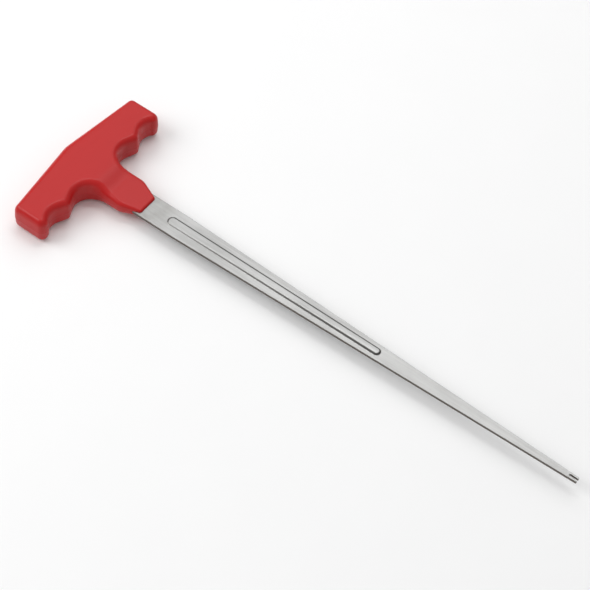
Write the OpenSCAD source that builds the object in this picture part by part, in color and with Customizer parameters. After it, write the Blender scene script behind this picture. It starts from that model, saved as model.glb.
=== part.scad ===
// T-handled blade tool. Two moulded half shells clamp the tang of a long flat blade
// that tapers to a small open fork. X runs along the blade towards the fork, Y along
// the bar of the handle, and Z up. The origin is under the middle of the whole tool,
// on the plane of the handle's flat underside. Sizes are in millimetres.

/* [Handle] */
// Width of the bar across the palm
handle_w = 105; // [100:0.5:130]
// Length from the back of the handle to the end of the collar
handle_l = 61; // [58:0.5:75]
// Thickness of the bar
bar_t = 17.5; // [16:0.1:22]
// How far the bar's back corners sit forward of its middle
back_sweep = 6; // [2:0.2:8]
// Distance from the back of the handle to the front of the bar's ends
bar_d = 28.4; // [26:0.2:31]
// Radius of the bar's outer corners, seen from above
corner_r = 3.9; // [3.2:0.1:5]
// Radius at the middle of the back
back_r = 20; // [8:1:40]
// Radius of the long edges round the top and bottom faces
edge_r = 4.6; // [2:0.1:5]
// Draft of the side walls in degrees
draft = 3.5; // [0:0.5:4.5]

/* [Finger grips] */
// Distance of the inner grips from the middle of the blade
inner_grip_y = 20.4; // [19.5:0.1:22]
// Distance of the inner grips' centres from the back of the handle
inner_grip_x = 35.3; // [34:0.1:37]
// Radius of the inner grips
inner_grip_r = 9.6; // [8.5:0.1:10.5]
// Distance of the outer grips' centres from the bar's ends
outer_grip_in = 12.1; // [11:0.1:14]
// Distance of the outer grips' centres from the back of the handle
outer_grip_x = 34; // [32:0.1:36]
// Radius of the outer grips
outer_grip_r = 8.8; // [7:0.1:9.6]
// Distance from the back of the handle to the tips of the ridges between the grips
ridge_x = 29; // [27:0.1:30]
// Radius of the ridges
ridge_r = 3.4; // [3:0.1:3.6]

/* [Neck] */
// Thickness of the neck where the ramp from the bar ends
neck_t = 10.4; // [8:0.2:12]
// Width of the neck at its bulge
neck_w = 22.6; // [21:0.2:25]
// Radius of the bulge
neck_r = 9.6; // [6:0.2:10]
// Distance from the bulge to the end of the collar
chamfer_l = 13.4; // [11:0.2:15]
// Length of the ramp from the bar down to the neck
ramp_l = 13.5; // [8:0.5:16]
// Thickness of the collar at its end
collar_t = 4.4; // [3.6:0.1:6]
// Width of the collar at its end
collar_w = 14; // [10:0.2:16]
// Radius of the collar's corners, seen from above
collar_r = 1.6; // [1:0.1:2.5]

/* [Blade] */
// Length of blade that shows outside the collar
blade_l = 283; // [200:1:350]
// Width of the blade at the collar
blade_w = 16.7; // [14.6:0.1:18]
// Length outside the collar over which the blade keeps its width
parallel_l = 22; // [5:1:40]
// Width of the blade at its tip
tip_w = 3.3; // [2.8:0.1:5]
// Thickness of the blade
blade_t = 1.8; // [1.2:0.1:2.4]
// Width of the slot between the two prongs
fork_w = 1.2; // [0.6:0.1:1.4]
// Depth of the slot between the two prongs
fork_l = 4.6; // [3:0.1:8]
// Cut across the outer corner of each prong
prong_cut = 0.7; // [0.2:0.1:0.8]

/* [Bead] */
// Distance from the collar to the start of the pressed bead
bead_start = 14.2; // [8:0.2:30]
// Length of the bead
bead_l = 144.4; // [80:0.2:165]
// Width of the bead at the collar end
bead_w = 6.4; // [4:0.1:9]
// Width of the bead at the fork end
bead_end_w = 5; // [3:0.1:6]
// Height of the bead at the collar end
bead_h = 0.5; // [0.3:0.1:1.4]
// Height of the bead at the fork end
bead_end_h = 1; // [0.4:0.1:1.6]
// Width of the bead's sloping side, seen from above
bead_slope = 0.9; // [0.3:0.1:1.2]

/* [Tang and fixings] */
// Distance from the back of the handle to the end of the tang
tang_x = 12; // [9:0.5:14]
// Width of the tang
tang_w = 14; // [11:0.2:15]
// Length of full blade width held inside the neck
shoulder_l = 11; // [6:0.5:13]
// Diameter of the tang pins
pin_d = 4; // [3:0.1:5]
// Length of the tang pins
pin_l = 6; // [4:0.2:7]
// Distance from the back of the handle to the rear pin
rear_pin_x = 31; // [29:0.5:33]
// Distance from the front pin to the end of the collar
front_pin_back = 17; // [15:0.5:19]
// Diameter of the screws
screw_d = 3; // [2.2:0.1:3.4]
// Thickness of plastic over the ends of the screws
screw_cover = 3.2; // [1.5:0.1:4]
// Diameter of the screw heads
head_d = 5.6; // [5:0.1:6]
// Height of the screw heads
head_h = 2; // [1.5:0.1:2.4]
// Depth of the screw heads below the underside
head_sink = 1.2; // [0.2:0.1:2]
// Distance of the outer screws from the bar's ends
outer_screw_in = 8.5; // [8:0.1:11]
// Distance from the back of the handle to the side screws
side_screw_x = 16; // [15:0.2:17]
// Distance from the back of the handle to the middle screw
middle_screw_x = 20; // [18:0.5:22]

/* [Shells] */
// Wall of the shells
wall = 2.6; // [2:0.1:3]
// Wall of the bosses round the screw heads
boss_wall = 0.9; // [0.8:0.1:1.2]
// Thickness of the ribs
rib_t = 1.6; // [1:0.1:2.2]
// Clearance round the tang, the pins and the screw heads
fit_gap = 0.1; // [0.05:0.01:0.2]

/* [Hidden] */
$fn = 48;
eps = 0.5;

half_bar = bar_t / 2;
overall_l = handle_l + blade_l;
bulge_x = handle_l - chamfer_l;
ramp_start = max(bar_d, ridge_x) + 0.3;
ramp_end = min(ramp_start + ramp_l, bulge_x + 2);
shoulder_x = handle_l - shoulder_l;
front_pin_x = handle_l - front_pin_back;
cavity_front = inner_grip_x - inner_grip_r - wall;
head_seat = -half_bar + head_sink + head_h;
screw_l = half_bar - screw_cover - fit_gap - head_seat;
boss_d = head_d + 2 * boss_wall;
outer_screw_y = handle_w / 2 - outer_screw_in;
outer_grip_y = handle_w / 2 - outer_grip_in;
// The ridges are midway between the grips, and stay behind the place where they would touch them
ridge_y = (inner_grip_y + outer_grip_y) / 2;
ridge_clear = 1.2;
touch_r = (inner_grip_r + outer_grip_r) / 2 + ridge_r;
touch_x = (inner_grip_x + outer_grip_x) / 2 - sqrt(max(touch_r * touch_r - pow(outer_grip_y - ridge_y, 2), 0));
ridge_centre_x = min(ridge_x - ridge_r, touch_x - ridge_clear);
inner_screw_y = ridge_y;
red = [0.62, 0.07, 0.06];
steel = [0.66, 0.66, 0.65];
bright_steel = [0.75, 0.75, 0.77];

// ---- Outline of the handle: a belt round circles --------------------------------
// Each circle is [x, y, radius, pieces of its arc, pieces of the line after it], and may
// say that it gives way to the rounded edges of its neighbours. The
// belt runs counterclockwise, and a negative radius is a hollow that it dips into.

neck_pieces = 4;
grip_pieces = 14;
small_pieces = 5;
outer_grip_pieces = 7;
// Piece of the inner grip's arc where the neck ends and the bar begins
grip_split = 6;
// The bar's back has as many points as its front, so that the two pair up
back_pieces = grip_pieces - grip_split + outer_grip_pieces + small_pieces + 3;

half_circles = [
    [handle_l - collar_r, collar_w / 2 - collar_r, collar_r, neck_pieces, neck_pieces],
    [bulge_x, neck_w / 2 - neck_r, neck_r, small_pieces, neck_pieces],
    [inner_grip_x, inner_grip_y, -inner_grip_r, grip_pieces, 1],
    [ridge_centre_x, ridge_y, ridge_r, small_pieces, 1, "gives way"],
    [outer_grip_x, outer_grip_y, -outer_grip_r, outer_grip_pieces, 1],
    [bar_d - corner_r, handle_w / 2 - corner_r, corner_r, small_pieces, 1, "gives way"],
    [back_sweep + corner_r, handle_w / 2 - corner_r, corner_r, small_pieces, back_pieces]
];

function mirrored(circles) = [
    for (i = [len(circles) - 1 : -1 : 0])
        let(c = circles[i], line_pieces = i == 0 ? 1 : circles[i - 1][4])
            [c[0], -c[1], c[2], c[3], line_pieces, c[5]]
];

outline = concat(half_circles, [[back_r, 0, back_r, 4, back_pieces]], mirrored(half_circles));

// Heading of the belt's straight stretch from circle a to circle b
function heading(a, b) =
    let(dx = b[0] - a[0], dy = b[1] - a[1], dr = b[2] - a[2])
        atan2(dy, dx) - atan2(dr, sqrt(max(dx * dx + dy * dy - dr * dr, 0)));

// An angle brought to the half turn either side of 0
function wrapped(angle) = angle - 360 * floor((angle + 180) / 360);

// Point of the belt on circle c where it runs at heading h
function on_circle(c, h) = [c[0] + c[2] * sin(h), c[1] - c[2] * cos(h)];

function belt(circles) = [
    for (i = [0 : len(circles) - 1])
        let(
            count = len(circles),
            before = circles[(i + count - 1) % count],
            here = circles[i],
            after = circles[(i + 1) % count],
            start = heading(before, here),
            leave = heading(here, after),
            sweep = wrapped(leave - start),
            line_start = on_circle(here, leave),
            line_end = on_circle(after, leave)
        )
            each concat(
                [for (k = [0 : here[3]]) on_circle(here, start + sweep * k / here[3])],
                [for (k = [1 : 1 : here[4] - 1]) line_start + (line_end - line_start) * k / here[4]]
            )
];

// A circle whose belt is moved inwards; a small corner keeps a little radius
least_r = 0.3;
function moved_in(c, inset, line_pieces) = [
    c[0], c[1], c[2] > 0 ? max(c[2] - inset, least_r) : c[2] - inset, c[3], line_pieces
];

// ---- Skin of a half shell -------------------------------------------------------
// Half the handle's thickness at a distance x from its back
function half_t(x) =
    let(u = max(0, min(1, (x - ramp_start) / (ramp_end - ramp_start))), s = u * u * (3 - 2 * u))
        x > ramp_end
            ? neck_t / 2 + (collar_t - neck_t) / 2 * (x - ramp_end) / (handle_l - ramp_end)
            : half_bar + (neck_t / 2 - half_bar) * s;

function edge_at(x) = min(edge_r, 0.5 * half_t(x));

// Level 0 lies a little below the seam, and the others go up the wall and round the
// edge. The last one stands proud on the bar, where half_shell() cuts it flat.
level_angles = [0, 0, 22.5, 45, 67.5, 90];
top_level = len(level_angles) - 1;
proud = 0.2;

function level_z(x, k) =
    k == 0
        ? -eps
        : half_t(x) - edge_at(x) * (1 - sin(level_angles[k])) + (k == top_level && x < ramp_start ? proud : 0);

// A circle of the outline at a level. A small corner leaves its edge less room, and one
// that gives way, beside a grip, moves back by what is missing.
function level_circle(c, k) =
    let(
        drafted = tan(draft) * level_z(c[0], k),
        room = c[2] > 0 ? c[2] - least_r - tan(draft) * half_t(c[0]) : edge_r,
        run = min(edge_at(c[0]), room),
        turned = 1 - cos(level_angles[k]),
        back = c[5] == "gives way" ? (edge_at(c[0]) - run) * turned : 0
    )
        moved_in([c[0] - back, c[1], c[2], c[3]], drafted + run * turned, c[4]);

function level_ring(k) =
    let(circles = [for (c = outline) level_circle(c, k)])
        [for (p = belt(circles)) [p[0], p[1], level_z(p[0], k)]];

// Triangles over the ring whose first point is number first: strips across the neck,
// strips between the bar's front and back, and a fan at the middle of the back
function ring_cap(first, n) =
    let(
        split = 2 * neck_pieces + small_pieces + neck_pieces + grip_split,
        bar_end = split + grip_pieces - grip_split + outer_grip_pieces + 2 * small_pieces + 3,
        back = 2 * bar_end + 1 - split
    )
        concat(
            [
                for (j = [0 : split - 1])
                    let(a = first + j, b = first + n - 1 - j)
                        each [[a, b, b - 1], [a, b - 1, a + 1]]
            ],
            [
                for (i = [0 : bar_end - split - 1])
                    let(
                        f = first + bar_end - i, b = first + bar_end + 1 + i,
                        fm = first + n - 1 - bar_end + i, bm = first + n - 2 - bar_end - i
                    )
                        each [[b, f, f - 1], [b, f - 1, b + 1], [bm, fm + 1, fm], [bm, bm - 1, fm + 1]]
            ],
            [for (k = [back : n - 2 - back]) [first + k + 1, first + k, first + split]],
            [[first + n - 1 - split, first + n - 1 - back, first + split]]
        );

module half_skin() {
    rings = [for (k = [0 : top_level]) level_ring(k)];
    n = len(rings[0]);
    walls = [
        for (k = [0 : top_level - 1], j = [0 : n - 1])
            let(a = k * n + j, b = k * n + (j + 1) % n)
                each [[a, a + n, b + n], [a, b + n, b]]
    ];
    top = ring_cap(top_level * n, n);
    base = [for (t = ring_cap(0, n)) [t[0], t[2], t[1]]];
    polyhedron(points = [for (r = rings) each r], faces = concat(walls, top, base), convexity = 8);
}

// ---- Inside of the shells -------------------------------------------------------
side_screws = [
    for (side = [-1, 1], y = [inner_screw_y, outer_screw_y]) [side_screw_x, side * y]
];
screws = concat([[middle_screw_x, 0]], side_screws);

module ribs_2d() {
    rail_y = tang_w / 2 + fit_gap + rib_t / 2;
    mid_rib_y = (rail_y + inner_screw_y) / 2;
    outer_rib_y = (inner_screw_y + outer_screw_y) / 2;
    for (side = [-1, 1]) {
        for (y = [rail_y, mid_rib_y, outer_rib_y]) {
            translate([0, side * y - rib_t / 2]) square([handle_l, rib_t]);
        }
    }
}

module cavity_2d() {
    difference() {
        intersection() {
            polygon(belt([for (c = outline) moved_in(c, wall, 1)]));
            translate([0, -handle_w / 2]) square([cavity_front, handle_w]);
        }
        ribs_2d();
        for (s = screws) {
            translate(s) circle(d = boss_d);
        }
    }
}

module tang_space() {
    slot_t = blade_t + eps;
    translate([tang_x - fit_gap, -tang_w / 2 - fit_gap, blade_t / 2 - slot_t])
        cube([handle_l, tang_w + 2 * fit_gap, slot_t]);
    translate([shoulder_x - fit_gap, -blade_w / 2 - fit_gap, blade_t / 2 - slot_t])
        cube([handle_l, blade_w + 2 * fit_gap, slot_t]);
}

module pin_seats() {
    for (x = [rear_pin_x, front_pin_x]) {
        translate([x, 0, -eps]) cylinder(d = pin_d + fit_gap, h = pin_l / 2 + eps);
    }
}

module half_shell() {
    difference() {
        half_skin();
        for (z = [-bar_t, half_bar]) {
            translate([-handle_l / 2, -handle_w, z]) cube([2 * handle_l, 2 * handle_w, bar_t]);
        }
        translate([0, 0, -eps]) linear_extrude(half_bar - wall + eps) cavity_2d();
        tang_space();
        pin_seats();
    }
}

// ---- Sub-parts, in a frame whose origin is the back of the handle at mid height ----
module place() {
    translate([-overall_l / 2, 0, half_bar]) children();
}

module handle_top_shell() {
    bore_top = head_seat + screw_l + fit_gap;
    color(red) place() difference() {
        half_shell();
        for (s = screws) {
            translate([s[0], s[1], -eps]) cylinder(d = screw_d + fit_gap, h = bore_top + eps);
        }
    }
}

module handle_bottom_shell() {
    color(red) place() difference() {
        mirror([0, 0, 1]) half_shell();
        for (s = screws) {
            translate([s[0], s[1], -half_bar - eps]) cylinder(d = screw_d + 2 * fit_gap, h = half_bar + 2 * eps);
            translate([s[0], s[1], -half_bar - eps])
                cylinder(d = head_d + 2 * fit_gap, h = head_sink + head_h + eps);
        }
    }
}

module blade_2d() {
    taper_x = handle_l + parallel_l;
    right_side = [
        [tang_x, tang_w / 2], [shoulder_x, tang_w / 2], [shoulder_x, blade_w / 2], [taper_x, blade_w / 2],
        [overall_l - 2 * prong_cut, tip_w / 2], [overall_l, tip_w / 2 - prong_cut]
    ];
    left_side = [for (i = [len(right_side) - 1 : -1 : 0]) [right_side[i][0], -right_side[i][1]]];
    difference() {
        polygon(concat(left_side, right_side));
        translate([overall_l - fork_l, -fork_w / 2]) square([fork_l + eps, fork_w]);
        translate([overall_l - fork_l, 0]) circle(d = fork_w);
    }
}

// Long round-ended form with sloping sides, as high as h1 at its start and h2 at its end
module bead_form(w1, w2, h1, h2, base) {
    x1 = handle_l + bead_start + bead_w / 2;
    x2 = handle_l + bead_start + bead_l - bead_end_w / 2;
    hull() {
        translate([x1, 0, -base]) cylinder(d = w1, h = base, $fn = 32);
        translate([x2, 0, -base]) cylinder(d = w2, h = base, $fn = 32);
        translate([x1, 0, 0]) cylinder(d1 = w1, d2 = w1 - 2 * bead_slope, h = h1, $fn = 32);
        translate([x2, 0, 0]) cylinder(d1 = w2, d2 = w2 - 2 * bead_slope, h = h2, $fn = 32);
    }
}

module blade() {
    pressed = 0.7;
    color(steel) place() difference() {
        union() {
            translate([0, 0, -blade_t / 2]) linear_extrude(blade_t) blade_2d();
            translate([0, 0, blade_t / 2]) bead_form(bead_w, bead_end_w, bead_h, bead_end_h, blade_t / 4);
        }
        translate([0, 0, -blade_t / 2])
            bead_form(bead_w - bead_slope, bead_end_w - bead_slope, bead_h * pressed, bead_end_h * pressed, eps);
        for (x = [rear_pin_x, front_pin_x]) {
            translate([x, 0, -blade_t]) cylinder(d = pin_d + fit_gap, h = 2 * blade_t);
        }
        translate([middle_screw_x, 0, -blade_t]) cylinder(d = screw_d + 2 * fit_gap, h = 2 * blade_t);
    }
}

module tang_pin(x) {
    bevel = 0.4;
    r = pin_d / 2;
    color(bright_steel) place() translate([x, 0, -pin_l / 2]) rotate_extrude() polygon([
        [0, 0], [r - bevel, 0], [r, bevel], [r, pin_l - bevel], [r - bevel, pin_l], [0, pin_l]
    ]);
}

module screw(at) {
    head_r = head_d / 2;
    r = screw_d / 2;
    point_l = 1.4;
    cross_w = 0.9;
    cross_l = 0.62 * head_d;
    cross_h = 0.6 * head_h;
    color(bright_steel) place() translate([at[0], at[1], head_seat]) difference() {
        rotate_extrude() polygon([
            [0, -head_h], [0.6 * head_r, -head_h], [0.88 * head_r, -0.8 * head_h], [head_r, -0.45 * head_h],
            [head_r, 0], [r, 0], [r, screw_l - point_l], [0.3 * r, screw_l], [0, screw_l]
        ]);
        for (turn = [0, 90]) {
            rotate([0, 0, turn + 45]) translate([-cross_l / 2, -cross_w / 2, -head_h - eps])
                cube([cross_l, cross_w, cross_h + eps]);
        }
    }
}

module tang_pin_front() { tang_pin(front_pin_x); }
module tang_pin_rear() { tang_pin(rear_pin_x); }
module screw_middle() { screw(screws[0]); }
module screw_left_inner() { screw(screws[1]); }
module screw_left_outer() { screw(screws[2]); }
module screw_right_inner() { screw(screws[3]); }
module screw_right_outer() { screw(screws[4]); }

handle_top_shell();
handle_bottom_shell();
blade();
tang_pin_front();
tang_pin_rear();
screw_middle();
screw_left_inner();
screw_left_outer();
screw_right_inner();
screw_right_outer();
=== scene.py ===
import math
from collections import namedtuple

import bmesh
import bpy
from mathutils import Matrix, Vector


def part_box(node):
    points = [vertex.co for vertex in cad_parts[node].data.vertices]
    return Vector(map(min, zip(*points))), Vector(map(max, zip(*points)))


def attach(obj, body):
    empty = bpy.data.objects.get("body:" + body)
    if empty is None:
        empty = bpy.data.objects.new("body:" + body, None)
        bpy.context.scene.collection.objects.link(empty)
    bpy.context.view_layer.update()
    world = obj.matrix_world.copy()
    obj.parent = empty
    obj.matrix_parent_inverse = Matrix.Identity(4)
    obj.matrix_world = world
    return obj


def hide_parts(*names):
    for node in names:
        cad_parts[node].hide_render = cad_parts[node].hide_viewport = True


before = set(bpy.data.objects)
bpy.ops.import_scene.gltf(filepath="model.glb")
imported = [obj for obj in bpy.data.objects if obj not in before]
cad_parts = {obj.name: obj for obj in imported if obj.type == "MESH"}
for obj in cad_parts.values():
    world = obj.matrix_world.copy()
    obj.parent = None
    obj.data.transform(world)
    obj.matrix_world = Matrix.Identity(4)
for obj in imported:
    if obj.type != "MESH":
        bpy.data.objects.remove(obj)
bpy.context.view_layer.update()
scene = bpy.context.scene

# A circle that an outline runs round; a negative radius is a hollow that it dips into
Circle = namedtuple("Circle", "x y r")

# ---- Sizes, in millimetres ---------------------------------------------------------
# x runs from the back of the handle to the fork, y along the bar, and z up from the
# seam between the two half shells
MM = 0.001


def node_box(node):
    """A CAD node's lowest and highest corners."""
    low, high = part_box(node)
    return low / MM, high / MM


TOP_LOW, TOP_HIGH = node_box("handle_top_shell")
BLADE_LOW, BLADE_HIGH = node_box("blade")
BACK = TOP_LOW.x
SEAM = TOP_LOW.z
HANDLE_L = round(TOP_HIGH.x - BACK, 1)
HANDLE_W = TOP_HIGH.y - TOP_LOW.y
HALF_BAR = TOP_HIGH.z - SEAM
OVERALL_L = BLADE_HIGH.x - BACK
TANG_X = BLADE_LOW.x - BACK
BLADE_W = BLADE_HIGH.y - BLADE_LOW.y
HALF_BLADE_T = SEAM - BLADE_LOW.z
BEAD_END_H = BLADE_HIGH.z - SEAM - HALF_BLADE_T

# Handle
BACK_SWEEP = 6.0
BAR_D = 28.4
CORNER_R = 3.9
BACK_R = 20.0
EDGE_R = 4.6
DRAFT = math.tan(math.radians(3.5))
INNER_GRIP = Circle(35.3, 20.4, -9.6)
OUTER_GRIP = Circle(34.0, HANDLE_W / 2 - 12.1, -8.8)
RIDGE_TIP = 29.0
RIDGE_R = 3.4
LEAST_R = 0.3
NECK_T = 10.4
NECK_W = 22.6
NECK_R = 9.6
BULGE_X = HANDLE_L - 13.4
RAMP_START = 29.3
RAMP_END = 42.8
COLLAR_T = 4.4
COLLAR_W = 14.0
COLLAR_R = 1.6
SEAM_LIP = 0.08
WALL = 2.6
RIB_T = 1.6
RIB_YS = (7.9, 19.15, 37.2)
BOSS_R = 3.7

# Blade
TANG_W = 14.0
SHOULDER_X = HANDLE_L - 11.0
TAPER_X = HANDLE_L + 22.0
TIP_W = 3.3
FORK_L = 4.6
FORK_R = 0.6
BEAD_START = HANDLE_L + 14.2
BEAD_END = BEAD_START + 144.4
BEAD_R = 3.2
BEAD_END_R = 2.5
BEAD_H = 0.5
FIT_GAP = 0.1

# Fixings
SCREWS = ["screw_middle", "screw_left_inner", "screw_left_outer", "screw_right_inner", "screw_right_outer"]
PINS = ["tang_pin_front", "tang_pin_rear"]
PIN_R = 2.0
HEAD_H = 2.0
HEAD_R = 2.8
SCREW_R = 1.5


def to_frame(x, y, z):
    """A point from this script's millimetres to the row frame's metres."""
    return Vector((BACK + x, y, SEAM + z)) * MM


def centre(node):
    """Where a round CAD node stands: its axis in x and y, and its lowest and highest z."""
    low, high = node_box(node)
    return (low.x + high.x) / 2 - BACK, (low.y + high.y) / 2, low.z - SEAM, high.z - SEAM


# ---- Outlines: belts round circles -------------------------------------------------
# A belt runs counterclockwise round its circles, mirrored in y.
def heading(a, b):
    """Direction of the straight stretch from circle a to circle b."""
    dx, dy, dr = b.x - a.x, b.y - a.y, b.r - a.r
    return math.atan2(dy, dx) - math.atan2(dr, math.sqrt(max(dx * dx + dy * dy - dr * dr, 0.0)))


def on_circle(circle, direction):
    """The belt's point on a circle where it runs in that direction."""
    return Vector((circle.x + circle.r * math.sin(direction), circle.y - circle.r * math.cos(direction)))


def stretches(circles):
    """Each circle with the directions in which the belt comes to it and turns on it."""
    between = [heading(a, b) for a, b in zip(circles, circles[1:])]
    starts = [math.pi / 2] + between
    leaves = between + [1.5 * math.pi]
    for circle, start, leave in zip(circles, starts, leaves):
        yield circle, start, (leave - start + math.pi) % (2 * math.pi) - math.pi


def belt_steps(circles, degrees=5.0, spacing=1.5):
    """How many pieces each arc and each straight stretch has."""
    turns = list(stretches(circles))
    steps = []
    for (circle, start, sweep), after in zip(turns, circles[1:] + [None]):
        arc = max(2, round(math.degrees(abs(sweep)) / degrees))
        line = 0
        if after:
            line_l = (on_circle(after, start + sweep) - on_circle(circle, start + sweep)).length
            line = max(1, round(line_l / spacing))
        steps.append((arc, line))
    return steps


def half_belt(circles, steps):
    """Points on the +Y half of the belt, from its front middle to its back middle."""
    points = []
    for (circle, start, sweep), after, (arc, line) in zip(stretches(circles), circles[1:] + [None], steps):
        points += [on_circle(circle, start + sweep * k / arc) for k in range(arc + 1)]
        if after:
            line_start = on_circle(circle, start + sweep)
            line_end = on_circle(after, start + sweep)
            points += [line_start.lerp(line_end, k / line) for k in range(1, line)]
    return points


def whole(points):
    """The whole belt from its +Y half."""
    return points + [Vector((p.x, -p.y)) for p in reversed(points) if abs(p.y) > 1e-6]


def moved_in(circles, inset):
    """The circles of a belt moved inwards; a small corner keeps a little radius."""
    return [Circle(c.x, c.y, max(c.r - inset, LEAST_R) if c.r > 0 else c.r - inset) for c in circles]


# ---- Meshes ------------------------------------------------------------------------
# Faces that meet at less than this many degrees are shaded as one
SMOOTH_BELOW = 32.0


class Mesh:
    """A mesh in the making, from rings of points."""

    def __init__(self):
        self.bm = bmesh.new()

    def ring(self, points):
        return [self.bm.verts.new(to_frame(*p)) for p in points]

    def band(self, low, high, material=0):
        count = len(low)
        for i in range(count):
            j = (i + 1) % count
            self.bm.faces.new((low[i], low[j], high[j], high[i])).material_index = material

    def bands(self, rings, material=0):
        for low, high in zip(rings, rings[1:]):
            self.band(low, high, material)

    def strips(self, ring, first, last, shift):
        """Faces across a ring, from point i to point shift - i."""
        count = len(ring)
        for i in range(first, last):
            corners = [ring[i], ring[i + 1], ring[(shift - i - 1) % count], ring[(shift - i) % count]]
            kept = [v for k, v in enumerate(corners) if v not in corners[:k]]
            if len(kept) > 2:
                self.bm.faces.new(kept)

    def fill(self, *rings):
        """Faces between flat rings: the first is the outside and the others are holes."""
        edges = []
        for ring in rings:
            for a, b in zip(ring, ring[1:] + ring[:1]):
                edges.append(self.bm.edges.get((a, b)) or self.bm.edges.new((a, b)))
        bmesh.ops.triangle_fill(self.bm, use_beauty=True, edges=edges)

    def finish(self, name):
        """A new object with this mesh, closed and facing outwards."""
        bmesh.ops.recalc_face_normals(self.bm, faces=self.bm.faces)
        data = bpy.data.meshes.new(name)
        self.bm.to_mesh(data)
        self.bm.free()
        piece = bpy.data.objects.new(name, data)
        scene.collection.objects.link(piece)
        return piece


def lathe(mesh, x, y, profile, steps=48, material=0):
    """A solid turned round the z axis through x, y, from a profile of radii and heights."""
    rings = []
    for r, z in profile:
        if r == 0:
            rings.append([mesh.bm.verts.new(to_frame(x, y, z))])
        else:
            turn = [2 * math.pi * k / steps for k in range(steps)]
            rings.append(mesh.ring([(x + r * math.cos(a), y + r * math.sin(a), z) for a in turn]))
    for low, high in zip(rings, rings[1:]):
        if len(low) == 1 or len(high) == 1:
            tip, rim = (low[0], high) if len(low) == 1 else (high[0], low)
            for a, b in zip(rim, rim[1:] + rim[:1]):
                mesh.bm.faces.new((tip, a, b)).material_index = material
        else:
            mesh.band(low, high, material)


def block(mesh, low, high):
    """A box between two corners."""
    rings = []
    for z in (low[2], high[2]):
        corners = [(low[0], low[1]), (high[0], low[1]), (high[0], high[1]), (low[0], high[1])]
        rings.append(mesh.ring([(x, y, z) for x, y in corners]))
        mesh.bm.faces.new(rings[-1])
    mesh.band(*rings)


def prism(mesh, outline, low, high):
    """An outline raised from one height to another."""
    rings = [mesh.ring([(p.x, p.y, z) for p in outline]) for z in (low, high)]
    for ring in rings:
        mesh.bm.faces.new(ring)
    mesh.band(*rings)


def combine(piece, tool, operation="DIFFERENCE"):
    """Cuts the tool out of the piece, and removes the tool."""
    modifier = piece.modifiers.new("cut", "BOOLEAN")
    modifier.operation = operation
    modifier.solver = "MANIFOLD"
    modifier.object = tool
    shaped = piece.evaluated_get(bpy.context.evaluated_depsgraph_get())
    data = bpy.data.meshes.new_from_object(shaped)
    old = piece.data
    piece.modifiers.clear()
    data.name = old.name
    piece.data = data
    bpy.data.meshes.remove(old)
    tool_data = tool.data
    bpy.data.objects.remove(tool)
    bpy.data.meshes.remove(tool_data)


def settle(piece, materials, node):
    """Gives a piece its materials and shading, and puts it in the CAD node's place."""
    places = piece.data.materials
    for index, material in enumerate(materials):
        if index < len(places):
            places[index] = material
        else:
            places.append(material)
    piece.data.shade_smooth()
    piece.data.set_sharp_from_angle(angle=math.radians(SMOOTH_BELOW))
    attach(piece, "root")
    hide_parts(node)


# ---- Handle ------------------------------------------------------------------------
RIDGE = Circle(RIDGE_TIP - RIDGE_R, (INNER_GRIP.y + OUTER_GRIP.y) / 2, RIDGE_R)
FRONT_CORNER = Circle(BAR_D - CORNER_R, HANDLE_W / 2 - CORNER_R, CORNER_R)
HANDLE = [
    Circle(HANDLE_L - COLLAR_R, COLLAR_W / 2 - COLLAR_R, COLLAR_R),
    Circle(BULGE_X, NECK_W / 2 - NECK_R, NECK_R),
    INNER_GRIP,
    RIDGE,
    OUTER_GRIP,
    FRONT_CORNER,
    Circle(BACK_SWEEP + CORNER_R, HANDLE_W / 2 - CORNER_R, CORNER_R),
    Circle(BACK_R, 0.0, BACK_R),
]
HANDLE_STEPS = belt_steps(HANDLE)


def half_t(x):
    """Half the handle's thickness at a distance x from its back."""
    if x > RAMP_END:
        return (NECK_T + (COLLAR_T - NECK_T) * (x - RAMP_END) / (HANDLE_L - RAMP_END)) / 2
    u = min(max((x - RAMP_START) / (RAMP_END - RAMP_START), 0.0), 1.0)
    return HALF_BAR + (NECK_T / 2 - HALF_BAR) * u * u * (3 - 2 * u)


def edge_at(x):
    """Radius of the long edges at x."""
    return min(EDGE_R, 0.5 * half_t(x))


def handle_ring(circles, z_at):
    """One level of the handle's skin, as x, y, z points."""
    return [(p.x, p.y, z_at(p.x)) for p in whole(half_belt(circles, HANDLE_STEPS))]


def round_level(angle, extra=0.0):
    """The level at an angle round the long edges, from 0 at the wall to 90 on top.

    A small corner leaves its edge less room, and one beside a grip moves back by what is missing.
    """
    low, turned = 1 - math.sin(math.radians(angle)), 1 - math.cos(math.radians(angle))

    def z_at(x):
        return half_t(x) - edge_at(x) * low

    circles = []
    for c in HANDLE:
        edge = edge_at(c.x)
        run = min(edge, c.r - LEAST_R - DRAFT * half_t(c.x)) if c.r > 0 else edge
        back = (edge - run) * turned if c in (RIDGE, FRONT_CORNER) else 0.0
        r = c.r - DRAFT * z_at(c.x) - run * turned
        if extra == 0 or c.r < 0 or r - extra > LEAST_R:
            circles.append(Circle(c.x - back, c.y, r - extra))
        else:
            inwards = -extra if c.x > BAR_D / 2 else extra
            circles.append(Circle(c.x - back + inwards, c.y - (0.0 if c is RIDGE else extra), r))
    return handle_ring(circles, z_at)


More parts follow.
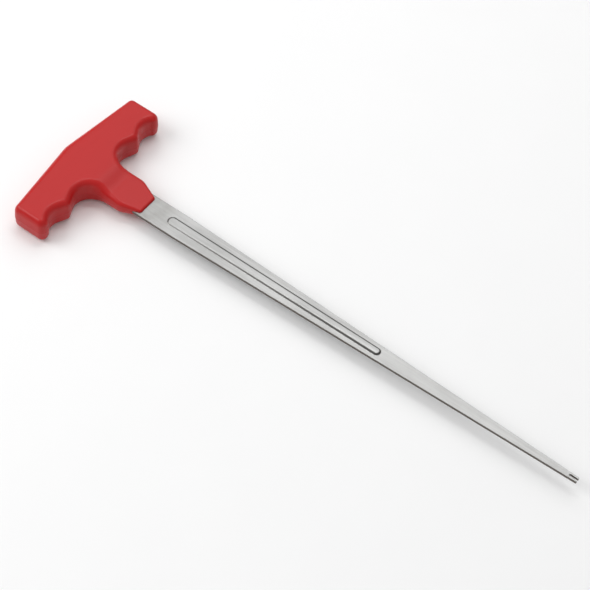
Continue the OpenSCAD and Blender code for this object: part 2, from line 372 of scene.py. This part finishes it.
def handle_skin(side):
    """The outside of a half shell, closed across the seam. side is 1 for the top and -1 for the bottom."""
    mesh = Mesh()
    levels = [
        handle_ring(moved_in(HANDLE, SEAM_LIP), lambda x: 0.0),
        handle_ring(moved_in(HANDLE, DRAFT * SEAM_LIP), lambda x: SEAM_LIP),
    ]
    levels += [round_level(9.0 * k) for k in range(11)]
    levels.append(round_level(90.0, extra=0.3))
    rings = [mesh.ring([(x, y, side * z) for x, y, z in level]) for level in levels]
    mesh.bands(rings)
    count = len(levels[0])
    split = next(i for i, p in enumerate(levels[-1]) if p[0] < RAMP_START)
    mesh.strips(rings[-1], 0, split, count - 1)
    mesh.fill(rings[-1][split : count - split])
    mesh.fill(rings[0])
    return mesh


def pockets(side):
    """The hollows between the ribs and the bosses of a half shell."""
    front = INNER_GRIP.x + INNER_GRIP.r - WALL
    reach = side * (HALF_BAR - WALL)
    mesh = Mesh()
    inside = whole(half_belt(moved_in(HANDLE, WALL), HANDLE_STEPS))
    back = [p for p in inside if p.x < front]
    prism(mesh, back, -side, reach)
    hollow = mesh.finish("hollow")
    ribs = Mesh()
    for y in RIB_YS:
        for s in (-1, 1):
            block(ribs, (-1, s * y - RIB_T / 2, -2 * side), (HANDLE_L, s * y + RIB_T / 2, 2 * reach))
    for node in SCREWS:
        x, y = centre(node)[:2]
        lathe(ribs, x, y, [(0, -2 * side), (BOSS_R, -2 * side), (BOSS_R, 2 * reach), (0, 2 * reach)])
    combine(hollow, ribs.finish("ribs"))
    return hollow


def tang_slot(side):
    """The flat slot that holds the tang and the blade's shoulders."""
    mesh = Mesh()
    half_tang, half_blade = TANG_W / 2 + FIT_GAP, BLADE_W / 2 + FIT_GAP
    step_x, back_x, front_x = SHOULDER_X - FIT_GAP, TANG_X - FIT_GAP, HANDLE_L + 5
    half = [(front_x, half_blade), (step_x, half_blade), (step_x, half_tang), (back_x, half_tang)]
    prism(mesh, whole([Vector(p) for p in half]), -side, side * HALF_BLADE_T)
    return mesh.finish("slot")


def bores(side):
    """The holes for the pins and the screws of a half shell."""
    mesh = Mesh()
    for node in PINS:
        x, y, _, high = centre(node)
        r = PIN_R + FIT_GAP / 2
        lathe(mesh, x, y, [(0, -side), (r, -side), (r, side * high), (0, side * high)])
    for node in SCREWS:
        x, y, low, high = centre(node)
        if side > 0:
            r, end = SCREW_R + FIT_GAP / 2, high + FIT_GAP
            lathe(mesh, x, y, [(0, -1), (r, -1), (r, end), (0, end + 0.8)])
        else:
            head_r, seat = HEAD_R + FIT_GAP, low + HEAD_H
            mouth = -HALF_BAR
            r = SCREW_R + FIT_GAP
            lathe(mesh, x, y, [
                (0, mouth - 1), (head_r + 1.35, mouth - 1), (head_r, mouth + 0.35), (head_r, seat), (r, seat),
                (r, 1), (0, 1),
            ])
    return mesh.finish("bores")


def half_shell(name, side, material):
    piece = handle_skin(side).finish(name + "_moulding")
    combine(piece, pockets(side))
    combine(piece, tang_slot(side))
    combine(piece, bores(side))
    settle(piece, [material], name)
    return piece


# ---- Blade -------------------------------------------------------------------------
BLADE = [
    Circle(OVERALL_L - FORK_L, 0.0, -FORK_R),
    Circle(OVERALL_L - 0.3, FORK_R + 0.3, 0.3),
    Circle(OVERALL_L - 0.45, TIP_W / 2 - 0.45, 0.45),
    Circle(TAPER_X, BLADE_W / 2 - 40.0, 40.0),
    Circle(SHOULDER_X + 0.8, BLADE_W / 2 - 0.8, 0.8),
    Circle(SHOULDER_X - 0.4, TANG_W / 2 + 0.4, -0.4),
    Circle(TANG_X + 1.0, TANG_W / 2 - 1.0, 1.0),
]
BLADE_STEPS = belt_steps(BLADE, degrees=9.0, spacing=2.5)
BEAD = [Circle(BEAD_END - BEAD_END_R, 0.0, BEAD_END_R), Circle(BEAD_START + BEAD_R, 0.0, BEAD_R)]
BEAD_STEPS = belt_steps(BEAD, degrees=6.0, spacing=2.5)
# Distance in from the bead's foot, and share of its height
BEAD_SECTION = [
    (-0.6, 0.0), (-0.2, 0.0), (-0.08, 0.02), (0.06, 0.08), (0.25, 0.23), (0.5, 0.52),
    (0.75, 0.79), (0.95, 0.92), (1.2, 0.975), (1.5, 0.995), (1.9, 1.0),
]
# Distance in from the sheared outline, and height from the middle of the sheet
SHEARED_EDGE = [
    (0.04, -HALF_BLADE_T), (0.0, -HALF_BLADE_T + 0.05), (0.0, 0.3),
    (0.0, 0.72), (0.05, 0.84), (0.16, HALF_BLADE_T),
]


def bead_height(x):
    """Height of the bead at x: it deepens towards the fork."""
    share = (x - BEAD_START) / (BEAD_END - BEAD_START)
    return BEAD_H + (BEAD_END_H - BEAD_H) * min(max(share, 0.0), 1.0)


def bead_rings(mesh, face, shrink, depth):
    """The rings of a raised or hollow bead on one face of the blade, from the outside in."""
    rings = []
    for inset, share in BEAD_SECTION:
        points = whole(half_belt(moved_in(BEAD, inset + shrink), BEAD_STEPS))
        rings.append(mesh.ring([(p.x, p.y, face + depth * share * bead_height(p.x)) for p in points]))
    mesh.bands(rings)
    half = len(rings[-1]) // 2
    mesh.strips(rings[-1], 0, half, len(rings[-1]))
    return rings[0]


def round_hole(mesh, node, r):
    """A hole through the tang, as its top and bottom rings."""
    x, y = centre(node)[:2]
    turn = [2 * math.pi * k / 40 for k in range(40)]
    rings = []
    for z in (HALF_BLADE_T, -HALF_BLADE_T):
        rings.append(mesh.ring([(x + r * math.cos(a), y + r * math.sin(a), z) for a in turn]))
    mesh.band(*rings)
    return rings


def blade(face_material, edge_material):
    mesh = Mesh()

    def outline(inset, z):
        points = whole(half_belt(moved_in(BLADE, inset), BLADE_STEPS))
        return mesh.ring([(p.x, p.y, z) for p in points])

    sides = [outline(inset, z) for inset, z in SHEARED_EDGE]
    mesh.bands(sides[:-2], material=1)
    mesh.bands(sides[-3:])
    under = outline(0.2, -HALF_BLADE_T)
    over = outline(0.3, HALF_BLADE_T)
    mesh.band(under, sides[0])
    mesh.band(sides[-1], over)
    holes = [round_hole(mesh, node, PIN_R + FIT_GAP / 2) for node in PINS]
    holes.append(round_hole(mesh, "screw_middle", SCREW_R + FIT_GAP))
    mesh.fill(over, bead_rings(mesh, HALF_BLADE_T, 0.0, 1.0), *[top for top, bottom in holes])
    mesh.fill(under, bead_rings(mesh, -HALF_BLADE_T, 0.45, 0.7), *[bottom for top, bottom in holes])
    piece = mesh.finish("blade_pressing")
    settle(piece, [face_material, edge_material], "blade")
    return piece


# ---- Fixings -----------------------------------------------------------------------
def tang_pin(node, material):
    """A dowel with rounded rims."""
    x, y, low, high = centre(node)
    r, bevel = PIN_R, 0.4
    turn = [math.pi / 2 * k / 6 for k in range(7)]
    arc = [(r - bevel + bevel * math.sin(a), bevel - bevel * math.cos(a)) for a in turn]
    profile = [(0, low)] + [(px, low + pz) for px, pz in arc]
    profile += [(px, high - pz) for px, pz in reversed(arc)] + [(0, high)]
    mesh = Mesh()
    lathe(mesh, x, y, profile, steps=64)
    piece = mesh.finish(node + "_dowel")
    settle(piece, [material], node)
    return piece


def screw(node, material):
    """A thread-forming screw with a domed head below and a cross recess in it."""
    x, y, low, high = centre(node)
    seat = low + HEAD_H
    head_r = HEAD_R
    mesh = Mesh()
    dome = [(0, low)]
    for k in range(1, 9):
        a = math.pi / 2 * k / 8
        dome.append((0.12 * head_r + 0.88 * head_r * math.sin(a), low + 0.55 * HEAD_H * (1 - math.cos(a))))
    dome += [(head_r, seat - 0.15), (head_r - 0.12, seat), (SCREW_R, seat)]
    lathe(mesh, x, y, dome + [(0, seat)], steps=56)
    piece = mesh.finish(node + "_body")

    stem = Mesh()
    pitch, minor, steps, rows_per_turn = 1.25, 1.12, 32, 10
    point_l, stem_low = 1.6, seat - 0.3
    rows = int((high - stem_low) / pitch * rows_per_turn)
    rings = []
    for row in range(rows + 1):
        z = stem_low + (high - stem_low) * row / rows
        taper = min(1.0, (high - z) / point_l)
        points = []
        for k in range(steps):
            a = 2 * math.pi * k / steps
            phase = ((z - seat) / pitch - k / steps) % 1.0
            crest = max(0.0, 1.0 - abs(phase - 0.5) / 0.22) * min(1.0, max(0.0, (z - seat) / 0.8))
            r = (minor + (SCREW_R - 0.02 - minor) * crest) * (0.25 + 0.75 * taper)
            points.append((x + r * math.cos(a), y + r * math.sin(a), z))
        rings.append(stem.ring(points))
    stem.bands(rings)
    stem.bm.faces.new(rings[0])
    stem.bm.faces.new(rings[-1])
    combine(piece, stem.finish("stem"), "UNION")

    for turn in (45.0, 135.0):
        recess = Mesh()
        wide, narrow = (0.62 * head_r, 0.16 * head_r), (0.30 * head_r, 0.10 * head_r)
        rings = []
        for (length, width), z in ((wide, low - 0.3), (wide, low + 0.15), (narrow, low + 0.62 * HEAD_H)):
            points = []
            for sx, sy in ((-1, -1), (1, -1), (1, 1), (-1, 1)):
                spot = Matrix.Rotation(math.radians(turn), 2) @ Vector((sx * length, sy * width))
                points.append((x + spot.x, y + spot.y, z))
            rings.append(recess.ring(points))
        recess.bands(rings)
        recess.bm.faces.new(rings[0])
        recess.bm.faces.new(rings[-1])
        combine(piece, recess.finish("recess"))
    settle(piece, [material], node)
    return piece


# ---- Finishes ----------------------------------------------------------------------
class Value:
    """A shader value that takes Python arithmetic; each operation adds one Math node."""

    def __init__(self, finish, socket):
        self.finish, self.socket = finish, socket

    def math(self, operation, *values, clamp=False):
        settings = {"operation": operation, "use_clamp": clamp}
        return self.finish.add("ShaderNodeMath", settings, dict(enumerate(values)))

    def __add__(self, other):
        return self.math("ADD", self, other)

    def __rsub__(self, other):
        return self.math("SUBTRACT", other, self)

    def __mul__(self, other):
        return self.math("MULTIPLY", self, other)

    __radd__, __rmul__ = __add__, __mul__

    def held(self):
        """The value kept between 0 and 1."""
        return self.math("ADD", self, 0.0, clamp=True)

    def size(self):
        """The value without its sign."""
        return self.math("ABSOLUTE", self)


class Finish:
    """A material, its shader and the nodes that feed it."""

    def __init__(self, name, **constants):
        self.material = bpy.data.materials.new(name)
        self.material.use_nodes = True
        self.tree = self.material.node_tree
        self.tree.nodes.clear()
        self.shader = self.tree.nodes.new("ShaderNodeBsdfPrincipled")
        output = self.tree.nodes.new("ShaderNodeOutputMaterial")
        self.tree.links.new(self.shader.outputs[0], output.inputs["Surface"])
        for socket, value in constants.items():
            self.feed(self.shader, socket.replace("_", " "), value)
        self.place = self.add("ShaderNodeTexCoord", output="Object")

    def feed(self, node, socket, value):
        if isinstance(value, Value):
            self.tree.links.new(value.socket, node.inputs[socket])
        else:
            node.inputs[socket].default_value = value

    def add(self, kind, settings=None, values=None, output=0):
        """Adds a node: its settings first, then the values or links of its sockets."""
        node = self.tree.nodes.new(kind)
        for name, setting in (settings or {}).items():
            setattr(node, name, setting)
        for socket, value in (values or {}).items():
            self.feed(node, socket, value)
        return Value(self, node.outputs[output])

    def noise(self, size, detail=3.0, roughness=0.55, stretch=(1, 1, 1), seed=0.0):
        """Noise whose features are about size millimetres, longer where stretch is larger."""
        scale = [1 / (size * MM * s) for s in stretch]
        placed = {"Vector": self.place, "Scale": scale, "Location": (seed,) * 3}
        where = self.add("ShaderNodeMapping", values=placed)
        values = {"Vector": where, "Scale": 1.0, "Detail": detail, "Roughness": roughness}
        return self.add("ShaderNodeTexNoise", {"noise_dimensions": "3D"}, values)

    def between(self, value, low, high):
        """0 where the value is below low, 1 above high, and smooth between them."""
        values = {"Value": value, "From Min": low, "From Max": high}
        return self.add("ShaderNodeMapRange", {"interpolation_type": "SMOOTHSTEP"}, values)

    def mix(self, factor, a, b):
        """Colour a where factor is 0 and colour b where it is 1."""
        return self.add("ShaderNodeMix", {"data_type": "RGBA"}, {0: factor, 6: a, 7: b}, output=2)

    def bump(self, height, strength, depth, below=None):
        values = {"Height": height, "Strength": strength, "Distance": depth * MM}
        if below:
            values["Normal"] = below
        return self.add("ShaderNodeBump", values=values)

    def part(self, vector, axis):
        """One coordinate of a vector."""
        return self.add("ShaderNodeSeparateXYZ", values={0: vector}, output=axis)

    def show(self, **inputs):
        for socket, value in inputs.items():
            self.feed(self.shader, socket.replace("_", " "), value)
        return self.material


def red_plastic():
    """Satin moulded plastic, with a fine spark-eroded grain, faint flow marks and a few scuffs."""
    f = Finish("moulded_red_plastic", IOR=1.48, Specular_IOR_Level=0.34)
    cloud = f.noise(22, detail=2)
    flow = f.noise(6, detail=3, stretch=(1, 4, 1), seed=3.0)
    grain = f.noise(0.28, detail=2, roughness=0.7)
    scuff = f.between(f.noise(2.2, detail=5, roughness=0.75, stretch=(3, 1, 1), seed=7.0), 0.66, 0.74)
    shade = (cloud * 0.6 + flow * 0.4).held()
    colour = f.mix(shade, (0.43, 0.008, 0.008, 1), (0.495, 0.010, 0.010, 1))
    colour = f.mix(scuff * 0.08, colour, (0.70, 0.20, 0.18, 1))
    roughness = 0.25 + 0.10 * cloud + 0.05 * grain + 0.08 * scuff
    normal = f.bump(grain, 0.22, 0.03, below=f.bump(flow, 0.10, 0.05))
    return f.show(Base_Color=colour, Roughness=roughness, Normal=normal)


def satin_steel():
    """Rolled and lightly brushed strip, with lengthwise grain, stains near the collar, small pits and painted
    shade darkening its steep faces.
    """
    f = Finish("satin_blade_steel", Metallic=1.0)
    hair = f.noise(0.16, detail=4, roughness=0.7, stretch=(90, 1, 1))
    broad = f.noise(1.6, detail=3, roughness=0.6, stretch=(22, 1, 1), seed=5.0)
    cloud = f.noise(14, detail=4, roughness=0.6, stretch=(2, 1, 1), seed=9.0)
    blotch = f.between(f.noise(5, detail=5, roughness=0.65, stretch=(1.6, 1, 1), seed=2.0), 0.38, 0.62)
    along = f.part(f.place, 0)
    near_collar = 1 - f.between(along, to_frame(HANDLE_L, 0, 0).x, to_frame(HANDLE_L + 24, 0, 0).x)
    pits = f.between(f.noise(0.9, detail=1, seed=11.0), 0.80, 0.84)
    stain = (near_collar * (0.35 + 0.65 * blotch)).held()
    tone = (0.45 * broad + 0.35 * cloud + 0.20 * hair).held()
    colour = f.mix(f.between(tone, 0.35, 0.65), (0.33, 0.33, 0.324, 1), (0.43, 0.43, 0.425, 1))
    colour = f.mix(stain * 0.55, colour, (0.26, 0.25, 0.235, 1))
    # Painted shade: steep faces, such as the bead's walls and the upper part of the cut edges, are darkened
    # nearly to black.
    upright = f.part(f.add("ShaderNodeTexCoord", output="Normal"), 2)
    painted_steep_shade = 1 - f.between(upright.size(), 0.84, 0.985)
    colour = f.mix(painted_steep_shade * 0.85, colour, (0.09, 0.085, 0.08, 1))
    colour = f.mix(pits * 0.8, colour, (0.16, 0.14, 0.12, 1))
    roughness = 0.30 + 0.10 * hair + 0.08 * broad + 0.06 * stain
    normal = f.bump(hair, 0.12, 0.012, below=f.bump(broad, 0.06, 0.05))
    return f.show(Base_Color=colour, Roughness=roughness, Normal=normal)


def sheared_steel_painted_shade():
    """The blade's cut edges: rough torn steel, coloured dark brown as painted shade on the edges."""
    f = Finish("sheared_edge_painted_shade", Metallic=1.0)
    tear = f.noise(0.5, detail=3, roughness=0.7, stretch=(1, 1, 5))
    # Painted shade: the cut edges get a dark brown colour that stands in for the shade on them; the noise
    # varies it like torn steel.
    colour = f.mix(tear, (0.10, 0.085, 0.075, 1), (0.20, 0.175, 0.155, 1))
    normal = f.bump(tear, 0.4, 0.04)
    return f.show(Base_Color=colour, Roughness=0.42 + 0.16 * tear, Normal=normal)


def zinc():
    """Bright zinc plate on the screws."""
    f = Finish("zinc_plate", Metallic=1.0)
    spangle = f.noise(0.7, detail=3)
    colour = f.mix(spangle, (0.62, 0.63, 0.65, 1), (0.76, 0.76, 0.78, 1))
    return f.show(Base_Color=colour, Roughness=0.24 + 0.14 * spangle, Normal=f.bump(spangle, 0.1, 0.02))


def ground_steel():
    """Ground dowel pins."""
    f = Finish("ground_pin_steel", Metallic=1.0)
    grind = f.noise(0.1, detail=3, stretch=(1, 1, 0.3))
    colour = f.mix(grind, (0.55, 0.55, 0.55, 1), (0.66, 0.66, 0.66, 1))
    return f.show(Base_Color=colour, Roughness=0.22 + 0.12 * grind, Normal=f.bump(grind, 0.15, 0.01))


# ---- Studio ------------------------------------------------------------------------
def floor():
    mesh = Mesh()
    reach = 3000.0
    low = -SEAM
    corners = [(-reach, -reach), (reach, -reach), (reach, reach), (-reach, reach)]
    mesh.bm.faces.new(mesh.ring([(x, y, low) for x, y in corners]))
    stand = mesh.finish("studio_floor")
    f = Finish("pale_floor", Specular_IOR_Level=0.2)
    mottle = f.noise(60, detail=2)
    colour = f.mix(mottle, (0.90, 0.90, 0.90, 1), (0.92, 0.92, 0.92, 1))
    stand.data.materials.append(f.show(Base_Color=colour, Roughness=0.8 + 0.1 * mottle))


def toward(azimuth, elevation):
    """Unit vector that points that way, from the azimuth and elevation in degrees."""
    a, e = math.radians(azimuth), math.radians(elevation)
    return Vector((math.cos(e) * math.cos(a), math.cos(e) * math.sin(a), math.sin(e)))


def softbox(name, azimuth, elevation, distance, width, height, watts):
    """A soft light that looks at the middle of the tool."""
    light = bpy.data.lights.new(name, "AREA")
    light.shape = "RECTANGLE"
    light.size, light.size_y = width, height
    light.energy = watts
    lamp = bpy.data.objects.new(name, light)
    way = toward(azimuth, elevation)
    lamp.location = way * distance
    lamp.rotation_euler = way.to_track_quat("Z", "Y").to_euler()
    scene.collection.objects.link(lamp)


def studio_air(horizon, overhead):
    """Even light from all round, with these strengths at the horizon and overhead."""
    world = bpy.data.worlds.new("studio_air")
    world.use_nodes = True
    tree = world.node_tree
    where = tree.nodes.new("ShaderNodeTexCoord")
    split = tree.nodes.new("ShaderNodeSeparateXYZ")
    fade = tree.nodes.new("ShaderNodeMapRange")
    for limit, value in {"From Min": 0.0, "From Max": 0.9, "To Min": horizon, "To Max": overhead}.items():
        fade.inputs[limit].default_value = value
    tree.links.new(where.outputs["Generated"], split.inputs[0])
    tree.links.new(split.outputs[2], fade.inputs["Value"])
    tree.links.new(fade.outputs[0], tree.nodes["Background"].inputs["Strength"])
    tree.nodes["Background"].inputs["Color"].default_value = (1, 1, 1, 1)
    scene.world = world


def studio():
    studio_air(0.30, 0.62)
    softbox("back_softbox", 120, 55, 1.6, 1.5, 1.3, 6.2)
    softbox("strip_light", 120, 74, 1.6, 1.0, 0.12, 3.0)
    softbox("key_softbox", -150, 40, 1.8, 1.1, 1.1, 14.5)
    scene.view_settings.view_transform = "Standard"
    scene.view_settings.look = "None"


def camera():
    """A long lens a metre away, above the fork's side of the bench and a little rolled."""
    azimuth, elevation, roll, distance = -59.82, 54.75, 7.07, 1.0
    target = to_frame(160.78, 3.04, 0)
    back = toward(azimuth, elevation)
    level = Vector((0, 0, 1)).cross(back).normalized()
    upright = back.cross(level)
    turn = math.radians(roll)
    right = math.cos(turn) * level + math.sin(turn) * upright
    up = back.cross(right)
    view = Matrix((right, up, back)).transposed().to_4x4()
    view.translation = target + back * distance
    data = bpy.data.cameras.new("bench_camera")
    data.sensor_width = 36.0
    data.lens = 111.57
    data.clip_start = 0.05
    eye = bpy.data.objects.new("bench_camera", data)
    eye.matrix_world = view
    scene.collection.objects.link(eye)
    scene.camera = eye


plastic = red_plastic()
half_shell("handle_top_shell", 1, plastic)
half_shell("handle_bottom_shell", -1, plastic)
blade(satin_steel(), sheared_steel_painted_shade())
pin_finish = ground_steel()
for pin_node in PINS:
    tang_pin(pin_node, pin_finish)
screw_finish = zinc()
for screw_node in SCREWS:
    screw(screw_node, screw_finish)
floor()
studio()
camera()
